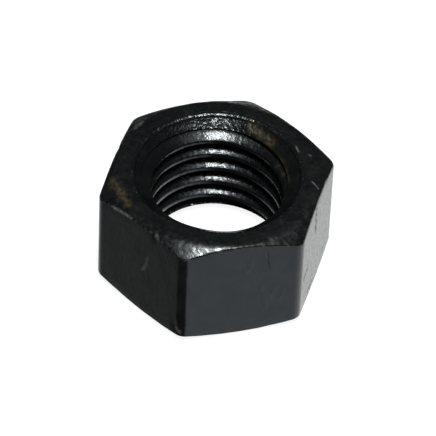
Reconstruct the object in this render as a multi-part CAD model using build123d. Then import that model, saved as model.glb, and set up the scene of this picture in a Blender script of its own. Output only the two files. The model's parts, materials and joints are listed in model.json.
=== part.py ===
from build123d import *
from build123d.topology import SkipClean

import os
from math import radians, sqrt, tan

# Hex nut, M16 x 2, in the small series that is 22 mm across flats.
# Millimetres. The thread axis is Z, the lower bearing face is Z = 0, two corners lie on the X axis
# and two wrench flats face -Y and +Y.

# Hexagonal blank
ACROSS_FLATS = 22.0
HEIGHT = 12.8
CORNER_RADIUS = 1.2

# Chamfer that turns each end of the hexagon into a round bearing face
BEARING_DIAMETER = 20.8
LOWER_CHAMFER_ANGLE = 22.0
UPPER_CHAMFER_ANGLE = 30.0

# Right-hand ISO metric thread, whose crests face the axis
MAJOR_DIAMETER = 16.0
PITCH = 2.0
HALF_FLANK_ANGLE = 30.0
TRIANGLE_HEIGHT = PITCH * sqrt(3) / 2
MINOR_DIAMETER = MAJOR_DIAMETER - 2 * (5 / 8) * TRIANGLE_HEIGHT
ROOT_FLAT = PITCH / 8

# Conical mouths of the thread, with the included angle of the cone
TOP_MOUTH_DIAMETER = 18.0
BOTTOM_MOUTH_DIAMETER = 17.0
MOUTH_ANGLE = 100.0

# Cutting tools run past the surfaces they cut by this much
OVERRUN = 0.5

# Every face is divided at quarter turns, so that no strip of thread goes all the way round
QUARTERS = 4


def hexagonal_blank():
    """Hexagonal prism with slightly rounded upright edges."""
    hexagon = RegularPolygon(ACROSS_FLATS / 2, 6, major_radius=False)
    prism = extrude(hexagon, HEIGHT)
    return fillet(prism.edges().filter_by(Axis.Z), CORNER_RADIUS)


def chamfer_envelope():
    """Solid of revolution with a round bearing face and a conical chamfer at each end."""
    bearing_radius = BEARING_DIAMETER / 2
    rim_radius = ACROSS_FLATS / sqrt(3) + OVERRUN
    lower_drop = (rim_radius - bearing_radius) * tan(radians(LOWER_CHAMFER_ANGLE))
    upper_drop = (rim_radius - bearing_radius) * tan(radians(UPPER_CHAMFER_ANGLE))
    profile = Polyline(
        (0, 0),
        (bearing_radius, 0),
        (rim_radius, lower_drop),
        (rim_radius, HEIGHT - upper_drop),
        (bearing_radius, HEIGHT),
        (0, HEIGHT),
        close=True,
    )
    return revolve(Plane.XZ * make_face(profile), Axis.Z)


def thread_groove():
    """Helical cutter for the groove between the crests: a root flat, two flanks and some overrun."""
    root_radius = MAJOR_DIAMETER / 2
    inner_radius = MINOR_DIAMETER / 2 - OVERRUN / 2
    root_half_width = ROOT_FLAT / 2
    inner_half_width = root_half_width + (root_radius - inner_radius) * tan(radians(HALF_FLANK_ANGLE))
    start = -1.5 * PITCH
    length = HEIGHT + 3 * PITCH
    profile = Polyline(
        (inner_radius, start - inner_half_width),
        (root_radius, start - root_half_width),
        (root_radius, start + root_half_width),
        (inner_radius, start + inner_half_width),
        close=True,
    )
    helix = Helix(PITCH, length, root_radius, center=(0, 0, start))
    return sweep(Plane.XZ * make_face(profile), path=helix, is_frenet=True)


def minor_bore():
    """Cylinder that cuts the thread crests to the minor diameter."""
    return Pos(0, 0, HEIGHT / 2) * Cylinder(MINOR_DIAMETER / 2, HEIGHT + 2 * OVERRUN)


def thread_mouth(diameter):
    """Cone that opens upwards to the given diameter at Z = 0 and runs past it."""
    slope = tan(radians(MOUTH_ANGLE / 2))
    tip_depth = diameter / 2 / slope
    top_radius = diameter / 2 + OVERRUN * slope
    profile = Polyline((0, -tip_depth), (top_radius, OVERRUN), (0, OVERRUN), close=True)
    return revolve(Plane.XZ * make_face(profile), Axis.Z)


def quarter_wedge(index):
    """Wedge of space that holds one quarter turn of the nut."""
    angle = 360 / QUARTERS
    profile = Rectangle(ACROSS_FLATS, 3 * HEIGHT, align=(Align.MIN, Align.CENTER))
    return Rot(0, 0, index * angle) * revolve(Plane.XZ * profile, Axis.Z, angle)


def nut_body():
    """The whole nut: chamfered hexagon, tapped bore and a conical mouth at each end."""
    blank = hexagonal_blank() & chamfer_envelope()
    top_mouth = Pos(0, 0, HEIGHT) * thread_mouth(TOP_MOUTH_DIAMETER)
    bottom_mouth = Rot(180, 0, 0) * thread_mouth(BOTTOM_MOUTH_DIAMETER)
    whole = blank.cut(thread_groove()).cut(minor_bore()).cut(top_mouth, bottom_mouth)
    with SkipClean():
        quarters = [whole & quarter_wedge(index) for index in range(QUARTERS)]
        return quarters[0].fuse(*quarters[1:])


os.makedirs("parts", exist_ok=True)
export_step(nut_body(), "parts/nut_body.step")
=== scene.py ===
import json
from math import atan2, cos, exp, pi, radians, sin, sqrt, tan

import bpy
from mathutils import Matrix, Vector, noise


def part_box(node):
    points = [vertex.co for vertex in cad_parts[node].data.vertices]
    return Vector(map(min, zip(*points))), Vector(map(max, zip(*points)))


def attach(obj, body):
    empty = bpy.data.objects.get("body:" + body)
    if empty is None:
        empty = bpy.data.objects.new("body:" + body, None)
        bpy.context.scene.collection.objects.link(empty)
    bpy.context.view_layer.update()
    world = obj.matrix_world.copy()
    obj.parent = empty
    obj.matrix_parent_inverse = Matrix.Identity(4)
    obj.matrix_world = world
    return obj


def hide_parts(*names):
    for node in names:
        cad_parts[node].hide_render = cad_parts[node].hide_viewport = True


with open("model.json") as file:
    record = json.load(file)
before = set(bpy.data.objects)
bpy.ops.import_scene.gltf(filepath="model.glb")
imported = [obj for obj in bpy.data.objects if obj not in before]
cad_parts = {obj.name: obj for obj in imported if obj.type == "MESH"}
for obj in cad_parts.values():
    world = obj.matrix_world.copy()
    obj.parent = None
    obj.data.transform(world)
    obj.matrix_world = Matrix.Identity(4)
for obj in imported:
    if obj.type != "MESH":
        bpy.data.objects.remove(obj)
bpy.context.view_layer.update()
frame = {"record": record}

# The nut is worked out in millimetres and made in metres.
MM = 0.001

# Sizes that the CAD node and its record give
LOW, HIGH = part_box("nut_body")
HEIGHT = (HIGH[2] - LOW[2]) / MM
APOTHEM = (HIGH[1] - LOW[1]) / 2 / MM
THREAD = next(mount for mount in frame["record"]["mounts"] if mount["name"] == "thread")
MINOR_RADIUS = THREAD["dims"]["r_mm"]

# The rest of the nut's shape, as in the CAD solid
CORNER_RADIUS = 1.2
BEARING_RADIUS = 10.4
UPPER_CHAMFER_SLOPE = tan(radians(30))
MAJOR_RADIUS = 8.0
PITCH = 2.0
FLANK_SLOPE = tan(radians(30))
TOP_MOUTH_RADIUS = 9.0
MOUTH_SLOPE = tan(radians(40))

# The lower chamfer is flatter and the lower mouth narrower than the CAD solid's, as their edges are rounded
LOWER_CHAMFER_SLOPE = tan(radians(18))
BOTTOM_MOUTH_RADIUS = 8.3

# Distance along the thread from the middle of a crest to the crest's edge and to the root's edge
CREST_EDGE = PITCH / 8
ROOT_EDGE = PITCH / 2 - PITCH / 16

# The forged upper face is uneven: radius at which its chamfer starts towards each corner, from 0 degrees on
UPPER_BEARING_RADII = [10.5, 10.4, 10.5, 10.65, 10.7, 10.7]

# The upper face stands slightly proud round the corner at this angle
RISE = 0.4
RISE_ANGLE = 238.0
RISE_SPREAD = 30.0

# The upper rim has a narrow shallow facet, then a steep step down to the cone of the mouth
FACET_WIDTH = 0.22
FACET_DEPTH = 0.12
STEP_WIDTH = 0.1
STEP_DEPTH = 0.24

# Radii of rounded edges that the CAD solid leaves sharp
CHAMFER_EDGE = 0.35
LOWER_BEARING_EDGE = 0.6
UPPER_BEARING_EDGE = 3.4
MOUTH_EDGE = 0.3
STEP_EDGE = 0.08
THREAD_EDGE = 0.05

# A rounded edge takes up at most this part of the stretch on each side of it
LARGEST_EDGE_PART = 0.45

# Faces that meet at more than this many degrees are shaded with a sharp edge
SHARP_ANGLE = 35

# Mesh steps round a corner of the hexagon, along a flat and round an edge
CORNER_STEPS = 14
FLAT_STEPS = 54
ARC_STEPS = 5

# Reach of the conical mouths that the outer rows take in, before the bore rows start
LIP = 0.3

# Mesh rows closer than this are one
SAME_PLACE = 0.002

# Waves of the surface: (waves to the millimetre, relative strength), and their height in millimetres
WAVES = [(0.6, 1.0), (1.2, 0.4)]
FLAT_WAVE_HEIGHT = 0.006
FORGED_WAVE_HEIGHT = 0.03
NOISE_SEED = 2

# Distance from a wrench flat over which the forged surface comes in
FLAT_FADE = 0.1

# Radius beyond which the surface is the upper face's and not the mouth's
FACE_START = TOP_MOUTH_RADIUS + 0.1

# A radius this close to the mouth's cone lies on it
ON_MOUTH = 0.001

# Depth of the surface's grain and added roughness, by region
MOUTH_SURFACE = (0.85, 0.0)
FACE_SURFACE = (0.26, 0.12)
THREAD_SURFACE = (0.40, 0.0)
FLAT_SURFACE = (0.15, 0.0)

# Dents, or bumps where the depth is negative: (angle in degrees, radius, height, reach, depth)
DENTS = [
    (235.0, 12.4, 2.0, 0.35, 0.14),
    (237.6, 12.4, 1.6, 0.45, 0.18),
    (141.0, 11.0, 12.7, 0.25, -0.06),
    (147.0, 11.2, 12.6, 0.5, 0.08),
    (222.0, 11.3, 12.7, 0.6, 0.10),
    (345.0, 11.3, 12.6, 0.6, 0.06),
]

# Camera, in degrees, metres and, for the lens and its sensor, millimetres
CAMERA_AZIMUTH = -15.7
CAMERA_ELEVATION = 45.75
CAMERA_ROLL = 2.64
CAMERA_DISTANCE = 0.4347
CAMERA_LENS = 342.8
CAMERA_SENSOR = 36
CAMERA_CLIP_START = 0.01
AIM_RIGHT = 0.00025
AIM_DOWN = 0.00019

# Lights: (name, degrees to the right of the camera, elevation, size in metres, power in watts, colour).
# A compact bright lamp hangs high on the camera's side, in the middle of a larger and dimmer panel.
LIGHT_DISTANCE = 0.6
LIGHTS = [
    ("lamp", 18, 75, 0.13, 2.8, (0.93, 0.98, 1.0)),
    ("panel", 25, 76, 0.5, 0.9, (0.80, 0.95, 1.0)),
]

# Colour of the studio below eye level, by angle round the nut from the viewer's right
SURROUNDINGS = [
    (-180, (0.10, 0.12, 0.11)),
    (-176, (0.10, 0.12, 0.11)),
    (-166, (0.0, 0.0, 0.0)),
    (-80, (0.0, 0.0, 0.0)),
    (-66, (0.62, 0.69, 0.77)),
    (-40, (0.72, 0.78, 0.84)),
    (10, (1.0, 1.05, 1.08)),
    (60, (1.03, 1.05, 1.03)),
    (120, (0.8, 0.85, 0.9)),
    (180, (0.10, 0.12, 0.11)),
]
ABOVE = (0.02, 0.02, 0.022)
STRAIGHT_DOWN = (0.03, 0.03, 0.03)

# Heights of a direction, from 1 straight up to -1 straight down, between which those colours change
EYE_LEVEL = (-0.1, -0.45)
FOOT_LEVEL = (-0.84, -0.93)

FLOOR_SIZE = 4


# ---------------------------------------------------------------- shape of the nut

def corner_centre():
    """Distance from the axis to the centre of a corner's rounding."""
    return (APOTHEM - CORNER_RADIUS) / cos(pi / 6)


def corner_half_angle():
    """Angle at the axis from a corner to where its rounding meets the flat."""
    return atan2(CORNER_RADIUS * sin(pi / 6), corner_centre() + CORNER_RADIUS * cos(pi / 6))


def hexagon_radius(angle):
    """Distance from the axis to the hexagon with rounded corners, at an angle in radians."""
    off_corner = abs((angle + pi / 6) % (pi / 3) - pi / 6)
    if off_corner >= corner_half_angle():
        return APOTHEM / cos(pi / 6 - off_corner)
    aside = corner_centre() * sin(off_corner)
    return corner_centre() * cos(off_corner) + sqrt(CORNER_RADIUS ** 2 - aside ** 2)


def column_angles():
    """Angles of the mesh columns, closer together round the six corners."""
    half = corner_half_angle()
    flat = pi / 3 - 2 * half
    angles = []
    for side in range(6):
        corner = side * pi / 3
        angles += [corner - half + 2 * half * step / CORNER_STEPS for step in range(CORNER_STEPS)]
        angles += [corner + half + flat * step / FLAT_STEPS for step in range(FLAT_STEPS)]
    return angles


def rounded_outline(corners):
    """Rows of (radius, height, edge) along an outline, with an edge of up to 1 on a tightly rounded corner.

    Each corner is its radius, its height, its rounding and the steps on the stretch before it."""
    points = [Vector(corner[:2]) for corner in corners]
    rows = []
    start = points[0]
    for before, corner, after, (_, _, rounding, steps) in zip(points, points[1:], points[2:], corners[1:]):
        back = before - corner
        ahead = after - corner
        reach = rounding / tan(back.angle(ahead) / 2)
        arc_start = corner + back.normalized() * min(reach, LARGEST_EDGE_PART * back.length)
        arc_end = corner + ahead.normalized() * min(reach, LARGEST_EDGE_PART * ahead.length)
        rows += [(*start.lerp(arc_start, step / steps), 0.0) for step in range(steps)]
        for step in range(ARC_STEPS):
            t = step / ARC_STEPS
            point = arc_start * (1 - t) ** 2 + corner * 2 * t * (1 - t) + arc_end * t ** 2
            rows.append((*point, sin(pi * t) * min(1, CHAMFER_EDGE / rounding)))
        start = arc_end
    steps = corners[-1][3]
    return rows + [(*start.lerp(points[-1], step / steps), 0.0) for step in range(steps + 1)]


def upper_bearing_radius(angle):
    """Radius at which the upper chamfer starts, blended smoothly from corner to corner."""
    position = (angle / (pi / 3)) % 6
    corner = int(position)
    part = (1 - cos(pi * (position - corner))) / 2
    return UPPER_BEARING_RADII[corner] * (1 - part) + UPPER_BEARING_RADII[(corner + 1) % 6] * part


def upper_face(angle):
    """Height of the upper face at an angle."""
    off = (angle - radians(RISE_ANGLE) + pi) % (2 * pi) - pi
    return HEIGHT + RISE * exp(-(off / radians(RISE_SPREAD)) ** 2)


def outer_rows(angle):
    """Rows of one column from the lower mouth, out over the wall, to the upper mouth."""
    wall = hexagon_radius(angle)
    top = upper_face(angle)
    upper_bearing = upper_bearing_radius(angle)
    lower_drop = (wall - BEARING_RADIUS) * LOWER_CHAMFER_SLOPE
    upper_drop = (wall - upper_bearing) * UPPER_CHAMFER_SLOPE
    cone_top = top - FACET_DEPTH - STEP_DEPTH
    cone_radius = TOP_MOUTH_RADIUS - (top - cone_top) / MOUTH_SLOPE
    return rounded_outline([
        (BOTTOM_MOUTH_RADIUS - LIP, LIP * MOUTH_SLOPE, 0, 0),
        (BOTTOM_MOUTH_RADIUS, 0, MOUTH_EDGE, 1),
        (BEARING_RADIUS, 0, LOWER_BEARING_EDGE, 5),
        (wall, lower_drop, CHAMFER_EDGE, 6),
        (wall, top - upper_drop, CHAMFER_EDGE, 14),
        (upper_bearing, top, UPPER_BEARING_EDGE, 4),
        (cone_radius + STEP_WIDTH + FACET_WIDTH, top, MOUTH_EDGE, 6),
        (cone_radius + STEP_WIDTH, top - FACET_DEPTH, STEP_EDGE, 2),
        (cone_radius, cone_top, STEP_EDGE, 1),
        (cone_radius - LIP, cone_top - LIP * MOUTH_SLOPE, 0, 1),
    ])


def soft_max(a, b):
    """The larger of two radii, rounded where they are nearly equal."""
    near = max(0.0, 1 - abs(a - b) / (2 * THREAD_EDGE))
    return max(a, b) + near * near * THREAD_EDGE / 2


def thread_radius(height):
    """Radius of the thread's surface at a height above a crest's middle, with softened edges."""
    from_crest = abs((height + PITCH / 2) % PITCH - PITCH / 2)
    flank = MINOR_RADIUS + (from_crest - CREST_EDGE) / FLANK_SLOPE
    above = soft_max(flank, MINOR_RADIUS)
    return -soft_max(-above, -MAJOR_RADIUS)


def thread_heights():
    """Heights of the mesh rows in one pitch, closest at the edges of the crest and the root."""
    near = THREAD_EDGE * FLANK_SLOPE
    half = [0, CREST_EDGE - near, CREST_EDGE, CREST_EDGE + near]
    half += [CREST_EDGE + (ROOT_EDGE - CREST_EDGE) * part for part in (0.3, 0.6)]
    half += [ROOT_EDGE - near, ROOT_EDGE + near]
    return half + [PITCH / 2] + [PITCH - height for height in reversed(half[1:])]


def mouth_radius(height, angle):
    """Radius of the nearer conical mouth at a height."""
    from_top = TOP_MOUTH_RADIUS - (upper_face(angle) - height) / MOUTH_SLOPE
    from_bottom = BOTTOM_MOUTH_RADIUS - height / MOUTH_SLOPE
    return max(from_top, from_bottom)


def bore_rows(angle, top, bottom):
    """Rows of one column down the bore. Each row climbs one pitch in a full turn, as the thread does."""
    turns = int(HEIGHT // PITCH) + 2
    climb = PITCH * angle / (2 * pi)
    first = PITCH * (turns - 1) + climb
    offsets = [PITCH * turn + height for turn in range(turns) for height in thread_heights()]
    rows = []
    for offset in offsets + [PITCH * turns]:
        height = min(top, max(bottom, first - offset))
        rows.append([height, thread_radius(height - climb), mouth_radius(height, angle)])
    for above, below in zip(rows, rows[1:]):
        before = above[2] - above[1]
        after = below[2] - below[1]
        if before * after < 0:
            meet_mouth(above, below, before / (before - after))
    return [(max(thread, mouth), height, 0.0) for height, thread, mouth in rows]


def meet_mouth(above, below, part):
    """Moves the nearer of two rows to where the thread runs out into the mouth."""
    meeting = [a + (b - a) * part for a, b in zip(above, below)]
    nearer = above if part < 0.5 else below
    nearer[:] = meeting


def at_angle(angle, radius, height):
    """Point at this angle in degrees and this distance from the axis."""
    a = radians(angle)
    return (radius * cos(a), radius * sin(a), height)


def unevenness(place, forged):
    """Shift that makes the surface wavy and dented. forged is 0 on a wrench flat and 1 elsewhere."""
    waves = sum((noise.noise_vector(place * scale) * part for scale, part in WAVES), Vector())
    shift = waves * (FLAT_WAVE_HEIGHT + FORGED_WAVE_HEIGHT * forged)
    outward = Vector((place.x, place.y, 0)).normalized()
    for angle, radius, height, reach, depth in DENTS:
        distance = (place - Vector(at_angle(angle, radius, height))).length
        shift -= outward * depth * exp(-(distance / reach) ** 2)
    return shift


def surface(radius, height, angle, forged):
    """Depth of the grain and added roughness at a place on the nut."""
    if forged < 1:
        return Vector(FLAT_SURFACE).lerp(Vector(FACE_SURFACE), max(0, forged))
    if radius > FACE_START:
        return FACE_SURFACE
    if radius > mouth_radius(height, angle) + ON_MOUTH:
        return THREAD_SURFACE
    return MOUTH_SURFACE


def add_column(vertices, angle):
    """Adds a column's vertices, with edge, grain and satin values. Returns each row's vertex number."""
    wall = hexagon_radius(angle)
    outer = outer_rows(angle)
    numbers = []
    last_place = None
    for row, (radius, height, edge) in enumerate(outer + bore_rows(angle, outer[-1][1], outer[0][1])):
        place = Vector((radius * cos(angle), radius * sin(angle), height))
        forged = (wall - radius) / FLAT_FADE
        if row < len(outer):
            place += unevenness(place, min(1.0, forged))
            # Nothing reaches below the lower bearing face
            place.z = max(0.0, place.z)
        if last_place is None or (place - last_place).length > SAME_PLACE:
            vertices.append((place * MM, edge, *surface(radius, height, angle, forged)))
            last_place = place
        numbers.append(len(vertices) - 1)
    return numbers


def after_full_turn(numbers):
    """The first column's numbers as the last column meets them: the bore rows are one pitch lower."""
    outer_count = len(outer_rows(0.0))
    pitch_rows = len(thread_heights())
    outer = numbers[:outer_count]
    bore = numbers[outer_count:]
    return outer + [bore[0]] * pitch_rows + bore[:-pitch_rows]


def faces_between(column, beside):
    """Faces between two columns, apart from those without any width."""
    faces = []
    for row in range(len(column)):
        below = (row + 1) % len(column)
        corners = [column[row], beside[row], beside[below], column[below]]
        corners = list(dict.fromkeys(corners))
        if len(corners) > 2:
            faces.append(corners)
    return faces


def nut_mesh():
    """Closed mesh of the nut, from columns that go up over the outside and back down the bore."""
    noise.seed_set(NOISE_SEED)
    vertices = []
    columns = [add_column(vertices, angle) for angle in column_angles()]
    faces = []
    for column, beside in zip(columns, columns[1:] + [after_full_turn(columns[0])]):
        faces += faces_between(column, beside)
    places, edges, grain, satin = zip(*vertices)
    mesh = bpy.data.meshes.new("nut")
    mesh.from_pydata(places, [], faces)
    for name, values in (("edge", edges), ("grain", grain), ("satin", satin)):
        mesh.attributes.new(name, "FLOAT", "POINT").data.foreach_set("value", values)
    return mesh


# ---------------------------------------------------------------- material nodes

def add(tree, kind, inputs=None, **settings):
    """Adds a node. inputs gives a value or an output to link, by the input's name or number."""
    made = tree.nodes.new(kind)
    for name, value in settings.items():
        setattr(made, name, value)
    for name, value in (inputs or {}).items():
        if isinstance(value, bpy.types.NodeSocket):
            tree.links.new(value, made.inputs[name])
        else:
            made.inputs[name].default_value = value
    return made


def calculate(tree, operation, first, second):
    """Result of one sum on numbers or outputs."""
    return add(tree, "ShaderNodeMath", {0: first, 1: second}, operation=operation).outputs[0]


def vector_sum(tree, operation, inputs, output="Vector"):
    """Result of one sum on vectors."""
    return add(tree, "ShaderNodeVectorMath", inputs, operation=operation).outputs[output]


def attribute(tree, name):
    """Value that the mesh's vertices carry under this name."""
    return add(tree, "ShaderNodeAttribute", attribute_name=name).outputs["Fac"]


def ease(tree, value, start, end, low=0.0, high=1.0):
    """Value that goes smoothly from low to high as the input goes from start to end."""
    inputs = {"Value": value, "From Min": start, "From Max": end, "To Min": low, "To Max": high}
    return add(tree, "ShaderNodeMapRange", inputs, interpolation_type="SMOOTHSTEP").outputs["Result"]


def noise_value(tree, place, scale, detail, roughness=0.5):
    """Noise from 0 to 1, with this many cells to the millimetre."""
    inputs = {"Vector": place, "Scale": scale, "Detail": detail, "Roughness": roughness}
    return add(tree, "ShaderNodeTexNoise", inputs).outputs["Fac"]


def blend_colour(tree, part, first, second):
    """Colour between two others, which are outputs or red, green, blue."""
    first, second = [c if isinstance(c, bpy.types.NodeSocket) else (*c, 1) for c in (first, second)]
    return add(tree, "ShaderNodeMix", {0: part, 6: first, 7: second}, data_type="RGBA").outputs[2]


def shaken(tree, place, scale, size):
    """Coordinates moved about by noise, so that what is drawn with them gets ragged outlines."""
    inputs = {"Vector": place, "Scale": scale, "Detail": 3.0}
    colour = add(tree, "ShaderNodeTexNoise", inputs).outputs["Color"]
    offset = vector_sum(tree, "SUBTRACT", {0: colour, 1: (0.5, 0.5, 0.5)})
    return vector_sum(tree, "MULTIPLY_ADD", {0: offset, 1: (size, size, size), 2: place})


def stroke(tree, place, start, end, width):
    """1 along the line between two places in millimetres, fading to 0 at half the width from it."""
    start = Vector(start)
    along = Vector(end) - start
    offset = vector_sum(tree, "SUBTRACT", {0: place, 1: start})
    part = vector_sum(tree, "DOT_PRODUCT", {0: offset, 1: along / along.length_squared}, "Value")
    part = add(tree, "ShaderNodeClamp", {"Value": part}).outputs[0]
    nearest = vector_sum(tree, "SCALE", {0: along, "Scale": part})
    distance = vector_sum(tree, "DISTANCE", {0: offset, 1: nearest}, "Value")
    return ease(tree, distance, 0.0, width / 2, 1.0, 0.0)


def strokes(tree, place, lines, part=1.0):
    """The strongest of several strokes at each place, times a part."""
    result = 0.0
    for line in lines:
        result = calculate(tree, "MAXIMUM", result, stroke(tree, place, *line))
    return calculate(tree, "MULTIPLY", result, part)


# ---------------------------------------------------------------- marks on the nut, in millimetres

def on_flat(facing, along, height):
    """Point on the wrench flat that faces this angle, so far along it and so high."""
    a = radians(facing)
    return (APOTHEM * cos(a) - along * sin(a), APOTHEM * sin(a) + along * cos(a), height)


# Directions of three of the wrench flats
RIGHT, FRONT, LEFT = -30, -90, -150

# Shallow dark scratches: (start, end, width)
DARK_SCRATCHES = [
    (on_flat(RIGHT, -1.1, 12.0), on_flat(RIGHT, -1.0, 8.7), 1.4),
    (on_flat(RIGHT, -3.5, 5.9), on_flat(RIGHT, -5.0, 5.3), 1.0),
    (on_flat(RIGHT, -1.2, 1.6), on_flat(RIGHT, -2.7, 1.3), 1.2),
    (on_flat(RIGHT, 2.7, 2.4), on_flat(RIGHT, 3.0, 1.9), 0.9),
    (on_flat(FRONT, 2.6, 11.8), on_flat(FRONT, 2.7, 10.4), 0.35),
    (on_flat(FRONT, 2.7, 10.4), on_flat(FRONT, 3.0, 8.6), 0.4),
]

# Bare steel where the oxide is knocked or worn off, and a painted highlight along the left flat's upper
# edge
BARE_MARKS_AND_EDGE_HIGHLIGHT = [
    (at_angle(234.5, 12.4, 2.1), at_angle(236, 12.4, 1.9), 0.6),
    (at_angle(237.6, 12.4, 1.6), at_angle(239, 12.4, 1.4), 0.9),
    (at_angle(222, 11.2, 12.8), at_angle(223, 11.4, 12.7), 1.0),
    # Painted highlight: a light line along the left flat's upper edge
    (on_flat(LEFT, -4.1, 12.2), on_flat(LEFT, -1.5, 12.6), 0.6),
    (at_angle(341, 9.8, HEIGHT), at_angle(335, 10.8, HEIGHT), 0.3),
    (at_angle(3.5, 10.0, HEIGHT), at_angle(3.0, 10.1, HEIGHT), 0.4),
    (at_angle(13.6, 9.2, HEIGHT), at_angle(8, 9.15, HEIGHT), 0.3),
    (at_angle(123, 11.0, 12.6), at_angle(128, 10.9, 12.6), 0.9),
]

# Polished spots on the front chamfer: smoother than the oxide round them, and painted a light colour as a
# highlight
POLISHED_AND_HIGHLIGHT_SPOTS = [
    (at_angle(247.8, 11.35, 12.72), at_angle(250.0, 11.25, 12.78), 0.9),
    (at_angle(255.6, 10.98, 12.88), at_angle(257.0, 10.95, 12.90), 0.7),
]

# Soft rubbed streaks and bruises on the flats
RUBBED_MARKS = [
    (on_flat(FRONT, 0.4, 9.1), on_flat(FRONT, 1.0, 10.5), 0.9),
    (on_flat(FRONT, 2.4, 5.4), on_flat(FRONT, 2.6, 3.5), 1.1),
    (on_flat(FRONT, 2.0, 6.3), on_flat(FRONT, 2.6, 5.4), 0.8),
    (on_flat(FRONT, 3.1, 5.1), on_flat(FRONT, 3.7, 6.0), 1.2),
    (on_flat(FRONT, 4.3, 4.6), on_flat(FRONT, 4.5, 5.6), 1.0),
    (on_flat(LEFT, 1.3, 8.8), on_flat(LEFT, 1.2, 7.8), 0.7),
    (on_flat(LEFT, 1.2, 7.8), on_flat(LEFT, 0.6, 6.5), 0.7),
]

# Olive and brown patches of oil and rust
STAINS = [
    (at_angle(50, 8.3, 12.2), at_angle(31, 7.9, 11.9), 2.1),
    (at_angle(14, 7.4, 11.1), at_angle(350, 7.5, 11.0), 1.6),
    (at_angle(350, 7.5, 11.0), at_angle(335, 7.3, 10.6), 0.9),
    (at_angle(174, 10.8, 12.6), at_angle(193, 10.4, 12.8), 1.7),
    (at_angle(140, 11.2, 12.6), at_angle(150, 11.0, 12.6), 1.0),
]


def marks(tree, place, coarse, fine):
    """Strength of each kind of mark, with ragged outlines and broken up by the grain."""
    wobbly = shaken(tree, place, 1.5, 0.3)
    warped = shaken(tree, place, 0.9, 1.6)
    return {
        "dark": strokes(tree, wobbly, DARK_SCRATCHES, ease(tree, coarse, 0.3, 0.5)),
        "bare_and_highlight": strokes(tree, wobbly, BARE_MARKS_AND_EDGE_HIGHLIGHT, ease(tree, coarse, 0.35, 0.6, low=0.3)),
        "polished_and_highlight": strokes(tree, wobbly, POLISHED_AND_HIGHLIGHT_SPOTS),
        "rubbed": strokes(tree, wobbly, RUBBED_MARKS, ease(tree, fine, 0.35, 0.6, low=0.3)),
        "stain": strokes(tree, warped, STAINS, ease(tree, coarse, 0.3, 0.62, low=0.35)),
    }


# ---------------------------------------------------------------- materials

# Cells of the noises to the millimetre
FINE_GRAIN = 7.0
COARSE_GRAIN = 2.4
LUMPS = 1.1
PATCHES = 0.45

# Depths in millimetres. The lumps' depth is for each unit of the satin value.
COARSE_DEPTH = 0.115
FINE_DEPTH = 0.012
LUMP_DEPTH = 0.6
SCRATCH_DEPTH = 0.012
BRUISE_HEIGHT = 0.018

# Roughness of the oxide from its smoothest to its roughest grain, and of stains and scratches
OXIDE_ROUGHNESS = (0.13, 0.25)
STAIN_ROUGHNESS = 0.6
SCRATCH_ROUGHNESS = 0.55

# Part of the roughness that is left where the nut is polished
POLISHED_PART = 0.4

OXIDE_IOR = 1.5

# Base colours of the finish
OXIDE = (0.0040, 0.0050, 0.0052)
LIGHTER_OXIDE = (0.0120, 0.0112, 0.0108)
WORN_EDGE = (0.08, 0.078, 0.070)
RUBBED_OXIDE = (0.022, 0.023, 0.023)
# Colour of bare steel, also used to paint the highlight along the left flat's upper edge
BARE_STEEL_AND_HIGHLIGHT = (0.13, 0.13, 0.12)
# Light colour that paints a highlight on the polished spots
POLISHED_STEEL_AND_HIGHLIGHT = (0.35, 0.35, 0.34)
OIL_AND_RUST = (0.054, 0.041, 0.021)


def oxide_colour(tree, place, coarse, fine, strength):
    """Near black in broad patches, lighter on worn edges and on the marks, with painted highlights on the
    polished spots and along the left flat's upper edge.
    """
    patches = noise_value(tree, place, PATCHES, 4.0, 0.6)
    tint = ease(tree, calculate(tree, "ADD", patches, fine), 0.75, 1.3)
    worn = calculate(tree, "MULTIPLY", attribute(tree, "edge"), ease(tree, coarse, 0.52, 0.72, high=0.6))
    colour = blend_colour(tree, tint, OXIDE, LIGHTER_OXIDE)
    colour = blend_colour(tree, worn, colour, WORN_EDGE)
    colour = blend_colour(tree, strength["rubbed"], colour, RUBBED_OXIDE)
    # Bare steel on nicks and worn spots, and a painted highlight along the left flat's upper edge
    colour = blend_colour(tree, strength["bare_and_highlight"], colour, BARE_STEEL_AND_HIGHLIGHT)
    # Painted highlight: the polished spots are given a light colour
    colour = blend_colour(tree, strength["polished_and_highlight"], colour, POLISHED_STEEL_AND_HIGHLIGHT)
    return blend_colour(tree, strength["stain"], colour, OIL_AND_RUST)


def oxide_roughness(tree, coarse, lumps, satin, strength):
    """Glossy on the polish marks, satin on the forged faces, and dull in stains and scratches."""
    uneven_satin = calculate(tree, "MULTIPLY", satin, ease(tree, lumps, 0.35, 0.65, 0.5, 1.3))
    stained = calculate(tree, "MULTIPLY", strength["stain"], STAIN_ROUGHNESS)
    scratched = calculate(tree, "MULTIPLY", strength["dark"], SCRATCH_ROUGHNESS)
    polish = ease(tree, strength["polished_and_highlight"], 0.0, 0.7, 1.0, POLISHED_PART)
    rough = calculate(tree, "ADD", ease(tree, coarse, 0.3, 0.7, *OXIDE_ROUGHNESS), uneven_satin)
    rough = calculate(tree, "MULTIPLY", rough, polish)
    rough = calculate(tree, "MAXIMUM", rough, stained)
    return calculate(tree, "MAXIMUM", rough, scratched)


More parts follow.
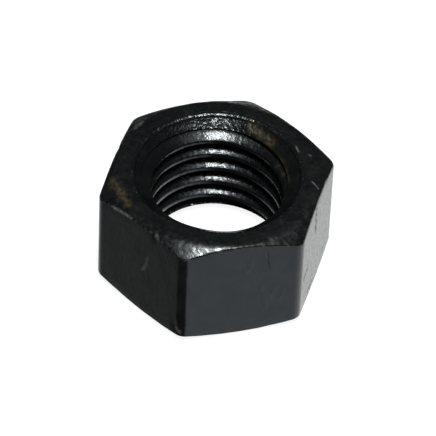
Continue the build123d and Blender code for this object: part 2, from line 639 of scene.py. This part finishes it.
def oxide_relief(tree, coarse, fine, lumps, satin, strength):
    """Height of the surface in millimetres: grain, soft lumps, scratches and bruises."""
    coarse_grain = calculate(tree, "MULTIPLY", coarse, COARSE_DEPTH)
    fine_grain = calculate(tree, "MULTIPLY", fine, FINE_DEPTH)
    grain = calculate(tree, "ADD", coarse_grain, fine_grain)
    swell = calculate(tree, "MULTIPLY", lumps, calculate(tree, "MULTIPLY", satin, LUMP_DEPTH))
    scratches = calculate(tree, "MULTIPLY", strength["dark"], SCRATCH_DEPTH)
    bruises = calculate(tree, "MULTIPLY", strength["rubbed"], BRUISE_HEIGHT)
    relief = calculate(tree, "MULTIPLY", grain, attribute(tree, "grain"))
    relief = calculate(tree, "ADD", relief, swell)
    relief = calculate(tree, "SUBTRACT", relief, scratches)
    return calculate(tree, "ADD", relief, bruises)


def new_material(name):
    """A material with its node tree and its shader."""
    material = bpy.data.materials.new(name)
    material.use_nodes = True
    tree = material.node_tree
    return material, tree, tree.nodes["Principled BSDF"]


def black_oxide():
    """Forged steel with a black oxide finish: near black, and grainy where it isn't a wrench flat."""
    material, tree, shader = new_material("black_oxide_steel")
    metres = add(tree, "ShaderNodeTexCoord").outputs["Object"]
    place = vector_sum(tree, "SCALE", {0: metres, "Scale": 1 / MM})
    satin = attribute(tree, "satin")
    fine = noise_value(tree, place, FINE_GRAIN, 3.0, 0.6)
    coarse = noise_value(tree, place, COARSE_GRAIN, 2.0)
    lumps = noise_value(tree, place, LUMPS, 1.0)
    strength = marks(tree, place, coarse, fine)
    relief = oxide_relief(tree, coarse, fine, lumps, satin, strength)
    bump = add(tree, "ShaderNodeBump", {"Height": relief, "Distance": MM, "Strength": 1.0})
    tree.links.new(oxide_colour(tree, place, coarse, fine, strength), shader.inputs["Base Color"])
    tree.links.new(oxide_roughness(tree, coarse, lumps, satin, strength), shader.inputs["Roughness"])
    tree.links.new(bump.outputs["Normal"], shader.inputs["Normal"])
    shader.inputs["IOR"].default_value = OXIDE_IOR
    return material


def white_paper():
    """White paper, bright enough that the nut's shadow is faint."""
    material, _, shader = new_material("white_paper")
    shader.inputs["Base Color"].default_value = (0.3, 0.3, 0.3, 1)
    shader.inputs["Roughness"].default_value = 0.9
    shader.inputs["Specular IOR Level"].default_value = 0.0
    shader.inputs["Emission Color"].default_value = (1, 1, 1, 1)
    shader.inputs["Emission Strength"].default_value = 0.9
    return material


# ---------------------------------------------------------------- pieces, lights and camera

def add_nut():
    """The visible nut, which replaces the CAD node."""
    mesh = nut_mesh()
    mesh.shade_smooth()
    mesh.set_sharp_from_angle(angle=radians(SHARP_ANGLE))
    mesh.materials.append(black_oxide())
    nut = bpy.data.objects.new("nut", mesh)
    bpy.context.scene.collection.objects.link(nut)
    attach(nut, "root")
    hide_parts("nut_body")


def add_floor():
    """Large plane that the nut stands on, left out of the nut's reflections, which show the surround."""
    bpy.ops.mesh.primitive_plane_add(size=FLOOR_SIZE)
    floor = bpy.context.object
    floor.name = "floor"
    floor.data.materials.append(white_paper())
    floor.visible_glossy = False


def view_direction(azimuth, elevation):
    """Unit vector from the nut towards a viewer at these angles in degrees."""
    a = radians(azimuth)
    e = radians(elevation)
    return Vector((sin(a) * cos(e), -cos(a) * cos(e), sin(e)))


def add_softbox(name, azimuth, elevation, size, power, colour):
    """Square area light that faces the nut."""
    light = bpy.data.lights.new(name, "AREA")
    light.size = size
    light.energy = power
    light.color = colour
    softbox = bpy.data.objects.new(name, light)
    away = view_direction(CAMERA_AZIMUTH + azimuth, elevation)
    softbox.location = away * LIGHT_DISTANCE
    softbox.rotation_euler = away.to_track_quat("Z", "Y").to_euler()
    bpy.context.scene.collection.objects.link(softbox)


def add_camera():
    """Long lens at the viewing angle, slightly rolled."""
    camera = bpy.data.objects.new("camera", bpy.data.cameras.new("camera"))
    camera.data.lens = CAMERA_LENS
    camera.data.sensor_width = CAMERA_SENSOR
    camera.data.clip_start = CAMERA_CLIP_START
    toward = view_direction(CAMERA_AZIMUTH, CAMERA_ELEVATION)
    turn = toward.to_track_quat("Z", "Y").to_matrix() @ Matrix.Rotation(radians(CAMERA_ROLL), 3, "Z")
    middle = Vector((0, 0, HEIGHT / 2 * MM))
    place = middle + toward * CAMERA_DISTANCE + turn @ Vector((AIM_RIGHT, -AIM_DOWN, 0))
    camera.matrix_world = Matrix.Translation(place) @ turn.to_4x4()
    bpy.context.scene.collection.objects.link(camera)
    bpy.context.scene.camera = camera


def surround_colour(tree, direction):
    """Colour of SURROUNDINGS in a direction. A new ramp already has the stops at its two ends."""
    turn = {"Vector": direction, "Rotation": (0, 0, radians(-CAMERA_AZIMUTH))}
    turned = add(tree, "ShaderNodeMapping", turn).outputs[0]
    around = add(tree, "ShaderNodeTexGradient", {"Vector": turned}, gradient_type="RADIAL").outputs["Fac"]
    ramp = add(tree, "ShaderNodeValToRGB", {"Fac": around})
    stops = ramp.color_ramp.elements
    for angle, _ in SURROUNDINGS[1:-1]:
        stops.new(angle / 360 + 0.5)
    for stop, (_, colour) in zip(stops, SURROUNDINGS):
        stop.color = (*colour, 1)
    return ramp.outputs["Color"]


def add_world():
    """Dark above, and below a bright surround that is darkest in front on the left."""
    world = bpy.data.worlds.new("studio")
    bpy.context.scene.world = world
    world.use_nodes = True
    tree = world.node_tree
    direction = add(tree, "ShaderNodeTexCoord").outputs["Generated"]
    height = add(tree, "ShaderNodeSeparateXYZ", {"Vector": direction}).outputs["Z"]
    surround = surround_colour(tree, direction)
    colour = blend_colour(tree, ease(tree, height, *EYE_LEVEL), ABOVE, surround)
    colour = blend_colour(tree, ease(tree, height, *FOOT_LEVEL), colour, STRAIGHT_DOWN)
    tree.links.new(colour, tree.nodes["Background"].inputs["Color"])


add_nut()
add_floor()
add_world()
for light in LIGHTS:
    add_softbox(*light)
add_camera()
bpy.context.scene.view_settings.view_transform = "Standard"
